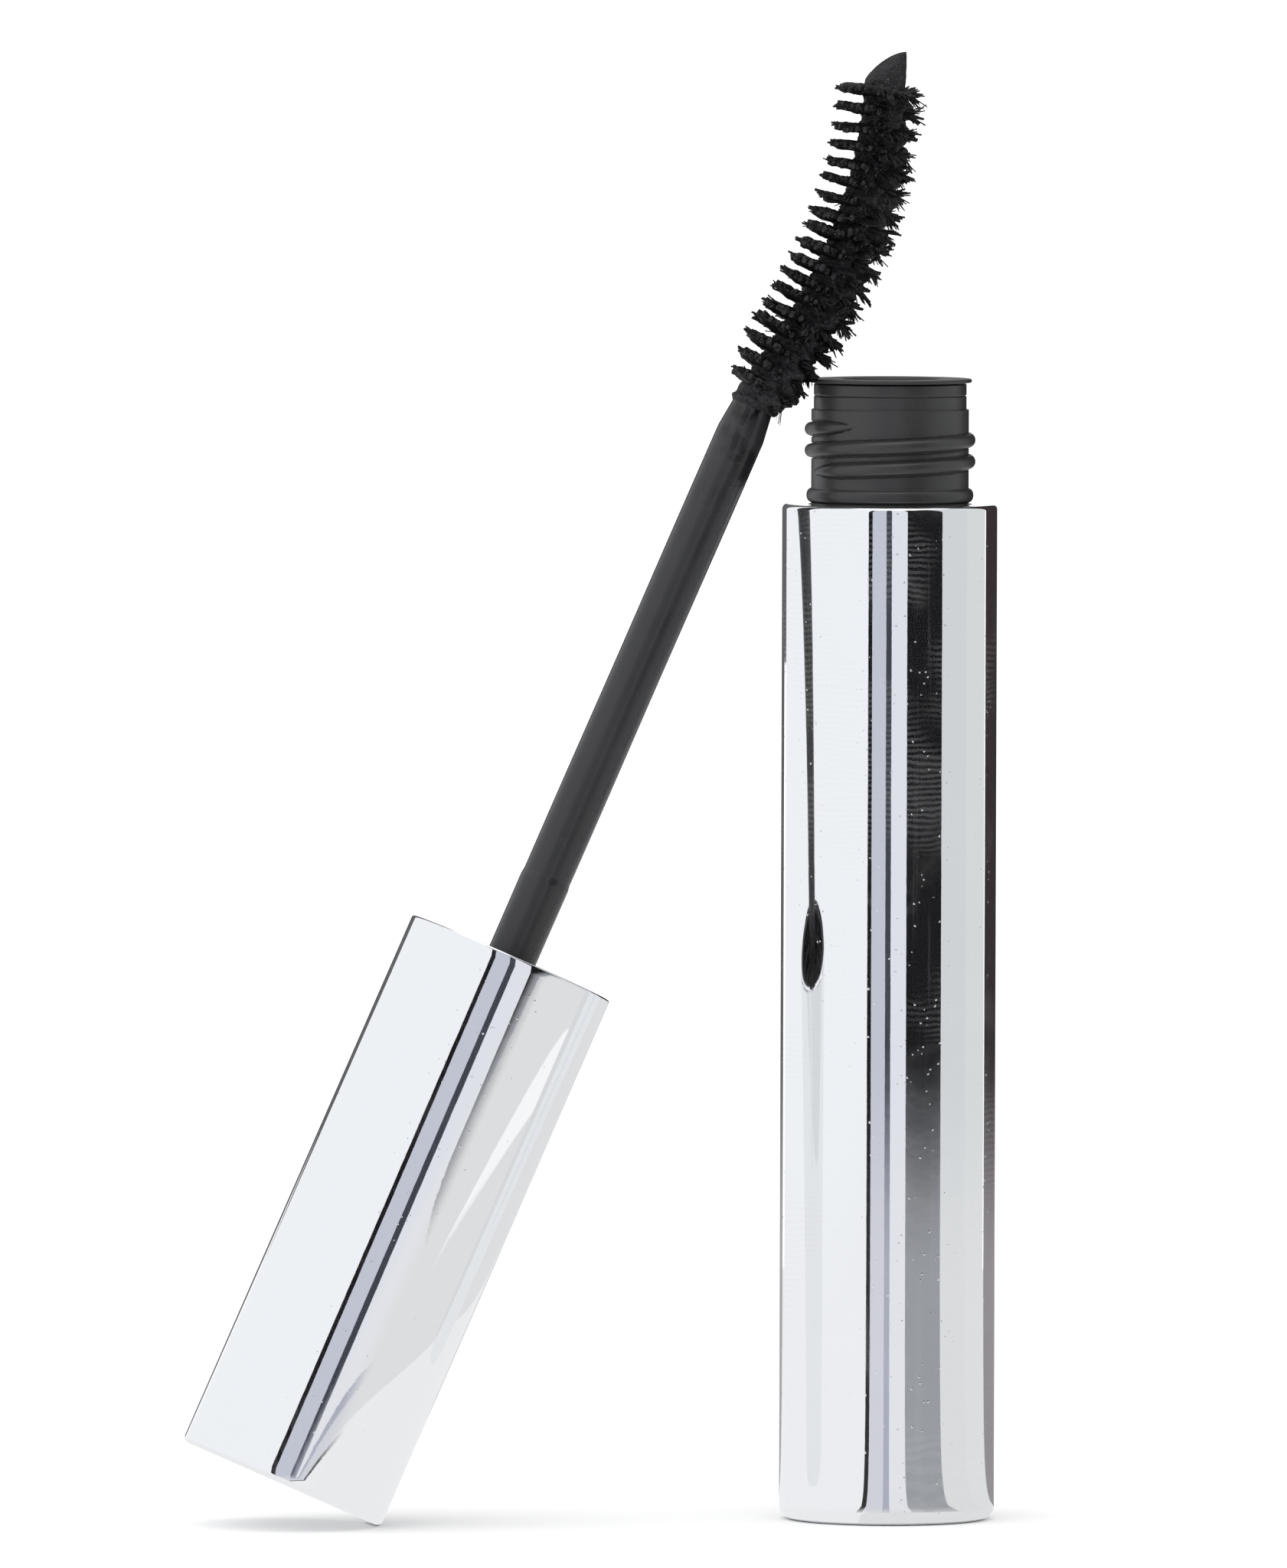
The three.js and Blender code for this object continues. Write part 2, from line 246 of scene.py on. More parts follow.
# %% [markdown]
# A screw thread on a height field: at each angle the ridge's middle is one pitch higher for each
# turn, so the distance to the nearest turn gives the ridge's height there. Its section is a half
# oval, and it rises from nothing at its first end and sinks back at its last.

# %% Thread ridges
thread_pitch = 1.7 * MM
thread_depth = 0.525 * MM
thread_width = 1.1 * MM
thread_turns = 2.125
thread_start = neck_top - 7.3 * MM
thread_start_angle = math.radians(196.875)
lug_length = 0.09  # of a turn, over which a ridge's end rises


def ridge(angle, height, start, turns, width):
    """Height of a helical ridge, from 0 to 1: the root of one minus the squared distance from
    its middle over half its width, faded by the root of the distance to its nearer end."""
    share = ((angle - thread_start_angle) / TURN) % 1.0
    turn = share + np.round((height - start) / thread_pitch - share)
    turn = np.where(turn < -0.01, share, turn)
    turn = np.where(turn > turns, turn - 1, turn)
    away = np.abs(height - start - turn * thread_pitch) / (width / 2)
    end = np.clip(np.minimum(turn, turns - turn) / lug_length, 0, 1)
    section = np.sqrt(np.clip(1 - (away / np.sqrt(np.maximum(end, 1e-6))) ** 2, 0, 1))
    return np.where((turn >= 0) & (turn <= turns), section * np.sqrt(end), 0)


print(f"thread: {thread_turns} turns, {thread_pitch / MM:.2f} apart")

# %% [markdown]
# Finishes. What several materials share is a node group: moulding grain, and the smears, dust
# and rubbed lines that hands leave. Groups only give out values, and each material keeps its own
# shader. All of them read Object coordinates, which are the frame's own metres, so a grain of
# a tenth of a millimetre is a noise scale of ten thousand.

# %% Start a node group


def new_group(name, inputs, outputs):
    """An empty shader group with its sockets: the tree, what it is given, and its output node."""
    tree = bpy.data.node_groups.new(name, "ShaderNodeTree")
    for way, labels in (("INPUT", inputs), ("OUTPUT", outputs)):
        for label in labels:
            kind = "NodeSocketVector" if label == "Vector" else "NodeSocketFloat"
            tree.interface.new_socket(name=label, in_out=way, socket_type=kind)
    return tree, tree.nodes.new("NodeGroupInput").outputs, tree.nodes.new("NodeGroupOutput")


# %% Add nodes


def fill(tree, socket, value):
    """A socket linked to an output, or set. A plain colour gets its fourth value, which is 1."""
    if isinstance(value, bpy.types.NodeSocket):
        tree.links.new(value, socket)
    else:
        socket.default_value = (*value, 1) if socket.type == "RGBA" else value


def feed(tree, node, **sockets):
    """A node's inputs filled by name, or as A, B and C by their order."""
    for key, value in sockets.items():
        place = "ABC".index(key) if key in "ABC" else key.replace("_", " ")
        fill(tree, node.inputs[place], value)


def add(tree, kind, settings=None, **sockets):
    """A node of that kind, with its settings and its inputs."""
    node = tree.nodes.new("ShaderNode" + kind)
    for key, value in (settings or {}).items():
        setattr(node, key, value)
    feed(tree, node, **sockets)
    return node


def maths(tree, operation, a, b=0.0, c=0.0):
    """One Math node's value."""
    return add(tree, "Math", {"operation": operation}, A=a, B=b, C=c).outputs[0]


def plus(tree, total, *parts):
    """A value plus each mask times its weight."""
    for mask, weight in parts:
        total = maths(tree, "MULTIPLY_ADD", mask, weight, total)
    return total


def ramp(tree, value, low, high, out_low=0.0, out_high=1.0):
    """The value between low and high, stretched smoothly to lie between two others."""
    node = add(tree, "MapRange", {"interpolation_type": "SMOOTHSTEP"}, Value=value,
               From_Min=low, From_Max=high, To_Min=out_low, To_Max=out_high)
    return node.outputs["Result"]


def noise(tree, vector, scale, detail=3.0, roughness=0.5, distortion=0.0):
    """A noise texture's value at this many cells a metre."""
    return add(tree, "TexNoise", Vector=vector, Scale=scale, Detail=detail,
               Roughness=roughness, Distortion=distortion).outputs[0]


# %% Group: moulding grain


def moulding_grain():
    """Fine even grain with a slow drift: a tenth-of-a-millimetre noise and a 3 mm one."""
    tree, given, out = new_group("moulding_grain", ("Vector", "Fineness"), ("Grain", "Drift"))
    fine = noise(tree, given["Vector"], given["Fineness"], 4.0, 0.6)
    slow = noise(tree, given["Vector"], 330.0, 3.0, 0.55)
    feed(tree, out, Grain=fine, Drift=slow)
    return tree


# %% Group: handling marks


def handling_marks():
    """What hands leave on gloss. Smears are a stretched noise cut to its peaks, prints are tight
    bands bent by a noise and kept to patches, dust is the middle of rare Voronoi cells, and
    rubbed lines are a noise stretched a hundredfold along the axis."""
    tree, given, out = new_group("handling_marks", ("Vector", "Amount"),
                                 ("Smear", "Print", "Dust", "Lines"))
    place = given["Vector"]
    smear = ramp(tree, noise(tree, place, 140.0, 5.0, 0.6, 0.8), 0.48, 0.72)
    patch = ramp(tree, noise(tree, place, 85.0, 2.0, 0.5), 0.52, 0.62)
    bands = add(tree, "TexWave", {"wave_type": "RINGS", "rings_direction": "SPHERICAL"},
                Vector=place, Scale=700.0, Distortion=9.0, Detail=3.0, Detail_Scale=0.35)
    prints = maths(tree, "MULTIPLY", ramp(tree, bands.outputs["Fac"], 0.35, 0.65), patch)
    cells = add(tree, "TexVoronoi", Vector=place, Scale=1500.0)
    rare = maths(tree, "GREATER_THAN", noise(tree, place, 900.0, 2.0), 0.51)
    specks = ramp(tree, cells.outputs["Distance"], 0.05, 0.15, 1.0, 0.0)
    dust = maths(tree, "MULTIPLY", specks, rare)
    stretched = add(tree, "Mapping", Vector=place, Scale=(6000.0, 6000.0, 60.0))
    lines = ramp(tree, noise(tree, stretched.outputs[0], 1.0, 2.0), 0.55, 0.75)
    marks = {"Smear": smear, "Print": prints, "Dust": dust, "Lines": lines}
    feed(tree, out, **{label: maths(tree, "MULTIPLY", value, given["Amount"])
                       for label, value in marks.items()})
    return tree


# %% Group: drying product


def wet_clots():
    """Drying product: lumps of half a millimetre, crumbs of a tenth, and glints where the crumbs
    are highest."""
    tree, given, out = new_group("wet_clots", ("Vector", "Size"), ("Lumps", "Crumbs", "Glints"))
    place, size = given["Vector"], given["Size"]
    lumps = noise(tree, place, size, 4.0, 0.6)
    finer = maths(tree, "MULTIPLY", size, 4.5)
    cells = add(tree, "TexVoronoi", {"feature": "SMOOTH_F1"}, Vector=place, Scale=finer,
                Smoothness=0.6)
    crumbs = maths(tree, "SUBTRACT", 1.0, cells.outputs["Distance"])
    glints = ramp(tree, noise(tree, place, finer, 3.0, 0.7), 0.58, 0.68)
    feed(tree, out, Lumps=lumps, Crumbs=crumbs, Glints=glints)
    return tree


GRAIN, MARKS, CLOTS = moulding_grain(), handling_marks(), wet_clots()
print("groups:", [g.name for g in (GRAIN, MARKS, CLOTS)])

# %% [markdown]
# Each material starts the same way: a tree and its Principled shader, with what is the same all
# over the surface set straight on it.

# %% Start a material


def new_material(name, **sockets):
    """A material with its Principled shader, returned with its tree and Object coordinates."""
    material = bpy.data.materials.new(name)
    material.use_nodes = True
    tree = material.node_tree
    shader = tree.nodes["Principled BSDF"]
    feed(tree, shader, **sockets)
    place = tree.nodes.new("ShaderNodeTexCoord").outputs["Object"]
    return material, tree, shader, place


# %% Groups, colours and bumps in a material


def use(tree, group, **sockets):
    """A group's node placed in a material."""
    return add(tree, "Group", {"node_tree": group}, **sockets).outputs


def mixed(tree, factor, low, high):
    """A colour between two, by a mask."""
    node = add(tree, "Mix", {"data_type": "RGBA"}, Factor=factor)
    fill(tree, node.inputs[6], low)
    fill(tree, node.inputs[7], high)
    return node.outputs[2]


def bumped(tree, shader, height, distance, before=None):
    """Height in the shader's Normal, through a Bump node, after another bump if there is one."""
    node = add(tree, "Bump", Height=height, Distance=distance)
    if before:
        feed(tree, node, Normal=before)
    feed(tree, shader, Normal=node.outputs[0])
    return node.outputs[0]


def along(tree, place, frame_matrix, low, high):
    """A mask that climbs from 0 to 1 between two heights along an axis: the dot product with the
    axis, less the foot's own."""
    axis = frame_matrix[:3, 2]
    dot = add(tree, "VectorMath", {"operation": "DOT_PRODUCT"}, A=place, B=tuple(axis))
    start = float(axis @ frame_matrix[:3, 3])
    return ramp(tree, dot.outputs["Value"], start + low, start + high)


# %% [markdown]
# The vial's shell and the cap are plastic with a metal film. It mirrors the room sharply, and
# on its dark reflections one sees what hands have left: greasy smears, dust and rubbed lines.
# The film itself is almost flat, with a slow ripple from the moulding under it.

# %% Chrome


def chrome(name, rubbed):
    """A metal film: a mirror whose roughness rises in smears, prints and dust. The thin grease
    and dust on it aren't metal, so Metallic falls a little there and greys the dark reflections."""
    material, tree, shader, place = new_material(name)
    marks = use(tree, MARKS, Vector=place, Amount=rubbed)
    grain = use(tree, GRAIN, Vector=place, Fineness=700.0)
    dirt = maths(tree, "MAXIMUM", maths(tree, "MULTIPLY", marks["Print"], 0.34), marks["Dust"])
    smear, lines = marks["Smear"], marks["Lines"]
    rough = plus(tree, 0.022, (smear, 0.035), (dirt, 0.05), (lines, 0.02))
    haze = plus(tree, 0.006, (smear, 0.02), (lines, 0.02), (dirt, 0.12))
    tint = mixed(tree, dirt, (0.93, 0.94, 0.955), (0.86, 0.87, 0.89))
    feed(tree, shader, Roughness=rough, Metallic=maths(tree, "SUBTRACT", 1.0, haze),
         Base_Color=tint)
    ripple = bumped(tree, shader, grain["Drift"], 0.004 * MM)
    bumped(tree, shader, marks["Dust"], 0.01 * MM, before=ripple)
    return material


CHROME_VIAL = chrome("chrome_vial", 1.0)
CHROME_CAP = chrome("chrome_cap", 0.6)
print("metal films:", CHROME_VIAL.name, CHROME_CAP.name)

# %% [markdown]
# The neck, the cap's insert and the rod are moulded black plastic. It looks grey in a bright
# room because its surface reflects a few hundredths of it. The wiper is softer and duller, and
# the product has smeared the rod's end and the wiper's mouth.

# %% Black plastics


def black_plastic(name, tone, gloss, smeared=None):
    """Moulded plastic: a dark body, fine grain, roughness that drifts, and product smears where
    the given mask rises."""
    material, tree, shader, place = new_material(name, IOR=1.49)
    grain = use(tree, GRAIN, Vector=place, Fineness=9000.0)
    marks = use(tree, MARKS, Vector=place, Amount=0.5)
    rough = plus(tree, gloss, (grain["Drift"], 0.12), (marks["Smear"], 0.08))
    body = mixed(tree, grain["Drift"], tuple(0.8 * c for c in tone), tuple(1.2 * c for c in tone))
    body = mixed(tree, marks["Dust"], body, (0.05, 0.05, 0.05))
    height = grain["Grain"]
    if smeared:
        clots = use(tree, CLOTS, Vector=place, Size=420.0)
        blots = ramp(tree, clots["Lumps"], 0.42, 0.60)
        wet = maths(tree, "MULTIPLY", blots, along(tree, place, *smeared))
        rough = plus(tree, rough, (wet, -0.14))
        body = mixed(tree, wet, body, (0.006, 0.005, 0.006))
        height = plus(tree, height, (wet, 3.0))
    feed(tree, shader, Roughness=rough, Base_Color=body)
    bumped(tree, shader, height, 0.006 * MM)
    return material


NECK_PLASTIC = black_plastic("neck_plastic", (0.026, 0.026, 0.027), 0.30)
INSERT_PLASTIC = black_plastic("insert_plastic", (0.012, 0.012, 0.013), 0.34)
ROD_PLASTIC = black_plastic("rod_plastic", (0.021, 0.021, 0.023), 0.20,
                            (WAND, rod_end - 12 * MM, rod_end - 1 * MM))
WIPER_RUBBER = black_plastic("wiper_rubber", (0.024, 0.024, 0.025), 0.44,
                             (UPRIGHT, neck_top - 0.4 * MM, neck_top - 6 * MM))
print("plastics:", [m.name for m in (NECK_PLASTIC, INSERT_PLASTIC, ROD_PLASTIC, WIPER_RUBBER)])

# %% [markdown]
# The fibres are nylon, dyed black and coated with product. The product itself is a thick wax paste:
# near black, crumbed by combing, with wet glints that are glossier and also lighter in colour, a
# painted highlight. The wire is drawn steel.

# %% Wire, fibres and product


def drawn_steel():
    """Bare wire: metal with fine drawn lines along it and specks of product."""
    material, tree, shader, place = new_material("drawn_steel", Metallic=1.0)
    grain = use(tree, GRAIN, Vector=place, Fineness=14000.0)
    clots = use(tree, CLOTS, Vector=place, Size=2500.0)
    specks = ramp(tree, clots["Lumps"], 0.55, 0.62)
    feed(tree, shader, Roughness=ramp(tree, grain["Grain"], 0.3, 0.7, 0.22, 0.42),
         Base_Color=mixed(tree, specks, (0.50, 0.50, 0.51), (0.02, 0.018, 0.02)))
    bumped(tree, shader, grain["Grain"], 0.004 * MM)
    return material


def coated(name, tone, size, depth, gloss):
    """Product or product-coated fibre: crumbs and lumps in the bump, glints in the gloss, and a
    painted highlight that lightens the base colour where the glints are.
    """
    material, tree, shader, place = new_material(name, IOR=1.45, Specular_IOR_Level=0.42)
    clots = use(tree, CLOTS, Vector=place, Size=size)
    rough = plus(tree, gloss, (clots["Glints"], -0.36))
    crumbed = ramp(tree, clots["Lumps"], 0.35, 0.7)
    body = mixed(tree, crumbed, tone, tuple(2.4 * c for c in tone))
    # Painted highlight: the base colour turns light grey where the glints are.
    body = mixed(tree, clots["Glints"], body, (0.11, 0.105, 0.115))
    feed(tree, shader, Roughness=rough, Base_Color=body)
    big = bumped(tree, shader, clots["Lumps"], depth)
    bumped(tree, shader, clots["Crumbs"], depth / 3, before=big)
    return material


STEEL = drawn_steel()
FIBRE = coated("coated_fibre", (0.005, 0.004, 0.005), 3000.0, 0.05 * MM, 0.55)
PRODUCT = coated("mascara_product", (0.004, 0.003, 0.004), 2200.0, 0.16 * MM, 0.52)
print("brush:", [m.name for m in (STEEL, FIBRE, PRODUCT)])

# %% [markdown]
# The vial's shell is a tube with a round foot and an almost sharp shoulder that turns in to the
# neck. A lathe profile with a true arc at each corner gives the metal its thin edge highlights.
# The plug that closes the tube's foot is a disc with a shallow dish under it.

# %% The vial's shell
shell_sides = 192
shell_wall = body_radius - shell_bore
shell = turned_piece("vial_shell", [
    (shell_bore, shell_base, 0.3, 0.3),
    (body_radius, shell_base, 1.1, 0.5),
    (body_radius, shell_top, 0.4, 0.4),
    (neck_hole, shell_top, 0.15, 0.3),
    (neck_hole, shell_top - shell_wall, 0.1, 0.5),
    (shell_bore, shell_top - shell_wall, 0.1, 3),
], shell_sides, "bottle", "chrome", CHROME_VIAL, ring=True)
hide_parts("bottle_shell")

# %% The base plug
_, plug_radius, plug_low, plug_top = measured("base_plug")
dish = 0.15 * MM
dish_radius = plug_radius - 1.4 * MM
foot_inside = plug_radius - 1.1 * MM
plug = turned_piece("base_disc", [
    (0, plug_low + dish, 0, 0.6),
    (dish_radius, plug_low + dish, 0.4, 0.2),
    (foot_inside, plug_low, 0.2, 0.3),
    (plug_radius, plug_low, 0.15, 0.3),
    (plug_radius, plug_top, 0.1, 1),
    (0, plug_top, 0, 1),
], 128, "bottle", "chrome", CHROME_VIAL)
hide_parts("base_plug")

# %% [markdown]
# The neck is one moulding with the vial inside the shell: a snap ring over the shoulder, two
# turns of thread with lug-like ends, a small step, and a mould line near the top. All of that
# lies on one wall, so a single height field pushes the turned surface in and out.

# %% What stands out of the neck's wall
play = 0.2 * MM  # between pieces that slide into each other
seat_gap = 0.3 * MM  # between pieces that rest on each other
neck_radius = neck_top_radius + 0.19 * MM
step_height = neck_top - 2.4 * MM
mould_line = neck_top - 1.33 * MM
mould_line_depth = 0.09 * MM
mould_line_width = 0.05 * MM
gutter_depth = 0.09 * MM  # of the fine line beside each ridge
gutter_width = 0.12 * MM
bead_height = shell_top + 0.7 * MM
bead_depth = 0.375 * MM
bead_width = 1.1 * MM


def neck_push(angle, radius, height):
    """Ring, thread and mould line on the neck's outer wall: a half oval round the bead's height,
    the thread's ridge, and a narrow notch like a bell curve."""
    away = (height - bead_height) / (bead_width / 2)
    bead = bead_depth * np.sqrt(np.clip(1 - away ** 2, 0, 1))
    thread = ridge(angle, height, thread_start, thread_turns, thread_width)
    wide = ridge(angle, height, thread_start, thread_turns, thread_width + 2 * gutter_width)
    gutter = gutter_depth * ((wide > 0.15) & (thread <= 0))
    notch = mould_line_depth * np.exp(-((height - mould_line) / mould_line_width) ** 2)
    outside = (radius > neck_top_radius - hair) & (height > shell_top)
    return np.where(outside, np.maximum(bead, thread_depth * thread) - notch - gutter, 0)


# %% The threaded neck and the vial inside the shell
vial_wall = 1.0 * MM
vial_shoulder = shell_top - shell_wall - play
under_shoulder = vial_shoulder - vial_wall
inner_radius = vial_radius - vial_wall
neck = turned_piece("threaded_neck", [
    (0, vial_base, 0, 1),
    (vial_radius, vial_base, 1, 4),
    (vial_radius, vial_shoulder, 0.3, 0.5),
    (neck_radius, vial_shoulder, 0.1, 0.05),
    (neck_radius, step_height, 0.06, 0.05),
    (neck_top_radius, step_height, 0.05, 0.04),
    (neck_top_radius, neck_rim, 0.08, 0.3),
    (neck_bore, neck_rim, 0.1, 2),
    (neck_bore, under_shoulder, 0.3, 1),
    (inner_radius, under_shoulder - inner_radius + neck_bore, 0.5, 4),
    (inner_radius, vial_base + vial_wall, 0.6, 1),
    (0, vial_base + vial_wall, 0, 1),
], 256, "bottle", "black_plastic", NECK_PLASTIC, bend=6, push=neck_push, sharp=80)
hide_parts("inner_bottle")

# %% [markdown]
# The wiper is a soft sleeve in the neck. Its thin flange sits on the rim and overhangs it a
# little, and its lower end narrows to the lip that strips the rod.

# %% The wiper
sleeve_radius = neck_bore - play
wiper_wall = 0.75 * MM
wiper_bore = sleeve_radius - wiper_wall
flange_under = neck_top - 0.3 * MM
cone_top = wiper_foot + 3.6 * MM
lip_top = wiper_foot + 0.8 * MM
wiper = turned_piece("wiper_sleeve", [
    (lip_radius, wiper_foot, 0.12, 0.2),
    (lip_radius + wiper_wall, wiper_foot, 0.2, 0.3),
    (sleeve_radius, cone_top, 0.8, 0.5),
    (sleeve_radius, flange_under, 0.05, 0.3),
    (flange_radius, flange_under, 0.1, 0.1),
    (flange_radius, neck_top, 0.13, 0.3),
    (wiper_bore, neck_top, 0.5, 0.5),
    (wiper_bore, cone_top, 0.8, 0.4),
    (lip_radius, lip_top, 0.2, 0.2),
], 160, "bottle", "wiper_rubber", WIPER_RUBBER, ring=True, bend=6)
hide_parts("wiper")

# %% [markdown]
# The cap is the same metallised tube, closed at the end that it stands on. Inside it sits the
# black insert with the thread that the neck screws into, and the boss that grips the rod.

# %% The cap
cap_bore = body_radius - 0.75 * MM
cap_floor = 0.9 * MM
cap = turned_piece("cap_sleeve", [
    (0, 0, 0, 1),
    (body_radius, 0, 0.45, 0.5),
    (body_radius, cap_length, 0.18, 0.2),
    (cap_bore, cap_length, 0.12, 1.5),
    (cap_bore, cap_floor, 0.2, 1),
    (0, cap_floor, 0, 1),
], shell_sides, "wand", "chrome", CHROME_CAP, place=WAND)
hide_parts("cap_shell")

# %% The thread inside the cap
socket_radius = neck_radius + thread_depth + play
web_top = cap_length - (neck_top - shell_top) - play
cap_thread_turns = 2.5
cap_thread_width = 0.5 * MM
cap_thread_run_in = 1.6 * MM
cap_thread_start = insert_rim - cap_thread_run_in - cap_thread_turns * thread_pitch


def socket_push(angle, radius, height):
    """The inner thread: its ridge stands inwards, towards the neck that it grips."""
    inside = (np.abs(radius - socket_radius) < 2 * hair) & (height > web_top)
    rise = ridge(angle, height, cap_thread_start, cap_thread_turns, cap_thread_width)
    return np.where(inside, -thread_depth * rise, 0)


# %% The cap's insert
web_under = web_top - 1.6 * MM
boss_end = web_under - 5 * MM
rod_socket = rod_radius + seat_gap
rod_seat = rod_root - seat_gap
boss_radius = rod_socket + 1.4 * MM
skirt_bore = insert_radius - 1 * MM
insert = turned_piece("cap_insert", [
    (0, boss_end, 0, 1),
    (boss_radius, boss_end, 0.2, 1),
    (boss_radius, web_under, 0.2, 1),
    (skirt_bore, web_under, 0.2, 2),
    (skirt_bore, insert_foot, 0.1, 0.5),
    (insert_radius, insert_foot, 0.1, 2),
    (insert_radius, insert_rim, 0.12, 0.2),
    (socket_radius, insert_rim, 0.2, 0.05),
    (socket_radius, web_top, 0.2, 0.5),
    (rod_socket, web_top, 0.1, 0.5),
    (rod_socket, rod_seat, 0.05, 0.5),
    (0, rod_seat, 0, 0.5),
], 192, "wand", "black_plastic", INSERT_PLASTIC, bend=6, place=WAND, push=socket_push)
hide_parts("inner_cap")

# %% [markdown]
# The rod is turned too, with the small step and the two hairlines that its mould left above the
# cap, and a tapered end with the wire's bore in it.

# %% The marks on the rod
rod_step = cap_length + 6.5 * MM
slim_radius = rod_radius - 0.07 * MM
hairline_depth, hairline_width = 0.05 * MM, 0.06 * MM
hairline_lifts = (-2.6 * MM, 0.9 * MM)  # above the step
sag_depth, sag_length = 0.012 * MM, 4.1 * MM


def rod_push(angle, radius, height):
    """Two hairline notches, and a faint sag in the wall as moulded rods have."""
    lines = sum(np.exp(-((height - rod_step - lift) / hairline_width) ** 2)
                for lift in hairline_lifts)
    sag = sag_depth * np.sin(height / sag_length) * np.cos(2 * angle)
    outside = (radius > slim_radius - hair) & (height > cap_length)
    return np.where(outside, sag - hairline_depth * lines, 0)


# %% The rod
taper_start = rod_end - 3.2 * MM
tip_wall = 0.67 * MM
wire_bore = wire_radius + seat_gap
wire_seat = rod_end - 7 * MM
rod = turned_piece("rod_stem", [
    (0, rod_root, 0, 0.5),
    (rod_radius, rod_root, 0.1, 1),
    (rod_radius, rod_step, 0.3, 0.1),
    (slim_radius, rod_step + 0.5 * MM, 0.3, 0.25),
    (slim_radius, taper_start, 2.5, 0.25),
    (wire_bore + tip_wall, rod_end, 0.25, 0.2),
    (wire_bore, rod_end, 0.1, 0.5),
    (wire_bore, wire_seat, 0.1, 0.5),
    (0, wire_seat, 0, 0.5),
], 96, "wand", "black_plastic", ROD_PLASTIC, bend=8, place=WAND, push=rod_push)
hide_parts("rod")

# %% [markdown]
# The brush bends. Its centre line is straight up the rod, then a sine arc towards the side that
# it leans to, and a cubic hook that curls its tip back. Everything on the brush is placed on it,
# by a point and the two directions square to the line there.

# %% The brush's centre line
brush_end = wire_top + 1.6 * MM
brush_length = brush_end - rod_end
brush_bow = 1.9 * MM
brush_hook = 1.9 * MM


def centre_line(height):
    """The line's point, its direction and the direction square to it in the bend's plane. The
    offset is the bow times the sine of pi times the share of the brush, less the hook times the
    share cubed, and the direction follows its derivative."""
    share = np.clip((height - rod_end) / brush_length, 0, 1)
    offset = brush_bow * np.sin(math.pi * share) - brush_hook * share ** 3
    slope = brush_bow * math.pi * np.cos(math.pi * share) - 3 * brush_hook * share ** 2
    slope = np.where(height > rod_end, slope / brush_length, 0)
    zero = np.zeros_like(height)
    point = np.stack((offset, zero, height), axis=-1)
    ahead = np.stack((slope, zero, zero + 1), axis=-1)
    ahead = ahead / np.linalg.norm(ahead, axis=-1, keepdims=True)
    square = np.stack((ahead[..., 2], zero, -ahead[..., 0]), axis=-1)
    return point, ahead, square


SIDEWAYS = np.array([0.0, 1.0, 0.0])


def spokes(square, angle):
    """Directions out from the centre line, and round it: one square direction times the cosine
    plus the other times the sine, and the same a quarter turn on."""
    cosine, sine = np.cos(angle)[..., None], np.sin(angle)[..., None]
    return square * cosine + SIDEWAYS * sine, SIDEWAYS * cosine - square * sine


print(f"brush: {brush_length / MM:.1f} long, its tip {centre_line(brush_end)[0][0] / MM:.2f} aside")

# %% Many tubes at once


def tubes(paths, radii, across, up, sides, flat=1.0):
    """Many tubes at once. paths is tubes by points by 3, and each ring is its point plus the
    radius times the cosine along one direction and the sine, flattened, along the other. The two
    ends are drawn together into poles."""
    count, steps = paths.shape[:2]
    angle = np.arange(sides) / sides * TURN
    ring = (across[:, :, None] * np.cos(angle)[:, None]
            + up[:, :, None] * flat * np.sin(angle)[:, None])
    points = paths[:, :, None] + radii[:, :, None, None] * ring
    vertices = np.concatenate((points.reshape(count, -1, 3), paths[:, :1], paths[:, -1:]), axis=1)
    body = steps * sides
    quads = grid_faces(steps, sides, False)
    first, last = pole_faces(steps, sides, body, body + 1)
    shift = (np.arange(count) * (body + 2))[:, None, None]
    faces = (quads + shift).reshape(-1, 4).tolist()
    for ends in (first, last):
        faces += (ends + shift).reshape(-1, 3).tolist()
    return vertices.reshape(-1, 3), faces


# %% [markdown]
# The brush's core is two wires twisted together, with the fibres caught between them. Each
# strand is a tube along a helix round the centre line.

# %% The twisted wire
strand_radius = 0.31 * MM
strand_offset = 0.27 * MM
bristle_pitch = 1.48 * MM
height = np.linspace(wire_foot + 0.4 * MM, wire_top - 0.2 * MM, 460)
point, _, square = centre_line(height)
twist = math.pi * (height - wire_foot) / bristle_pitch
strands = []
for start in (0, math.pi):
    outward, around = spokes(square, twist + start)
    strands.append((point + outward * strand_offset, outward, around))
paths, across, up = (np.stack(part) for part in zip(*strands))
radii = np.full(paths.shape[:2], strand_radius)
radii[:, (0, -1)] *= 0.6
vertices, faces = tubes(paths, radii, across, up, 12)
wire = make_piece("twisted_wire", in_place(vertices, WAND), faces, "wand", "steel_wire", STEEL)
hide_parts("brush_wire")

# %% [markdown]
# Fibres. On a used brush they don't stand alone: wet product draws them into clumps. On the
# side that was combed last they make eighteen clean fins, one for each turn of the wire, with
# frayed ends. On the other side they are looser, finer and gather in uneven tufts. So each turn
# has flattened clumps all round, hairs that poke out of them, and hairs that lean together.

# %% One turn of fibres
rng = np.random.default_rng(18)
bristle_start = 0.9 * MM
turn_names = sorted(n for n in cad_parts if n.startswith("bristle_turn_"))
base_reach, tip_reach = 3.85 * MM, 3.45 * MM
heel_turns = 2.5  # the first turns are shorter, the nearer they are to the rod
heel_trim = 1.0 * MM  # off the first one's reach


def combed_share(angle):
    """1 on the side that was combed, 0 on the other, by how far the angle's cosine falls."""
    s = np.clip((0.15 - np.cos(angle)) / 0.75, 0, 1)
    return s * s * (3 - 2 * s)


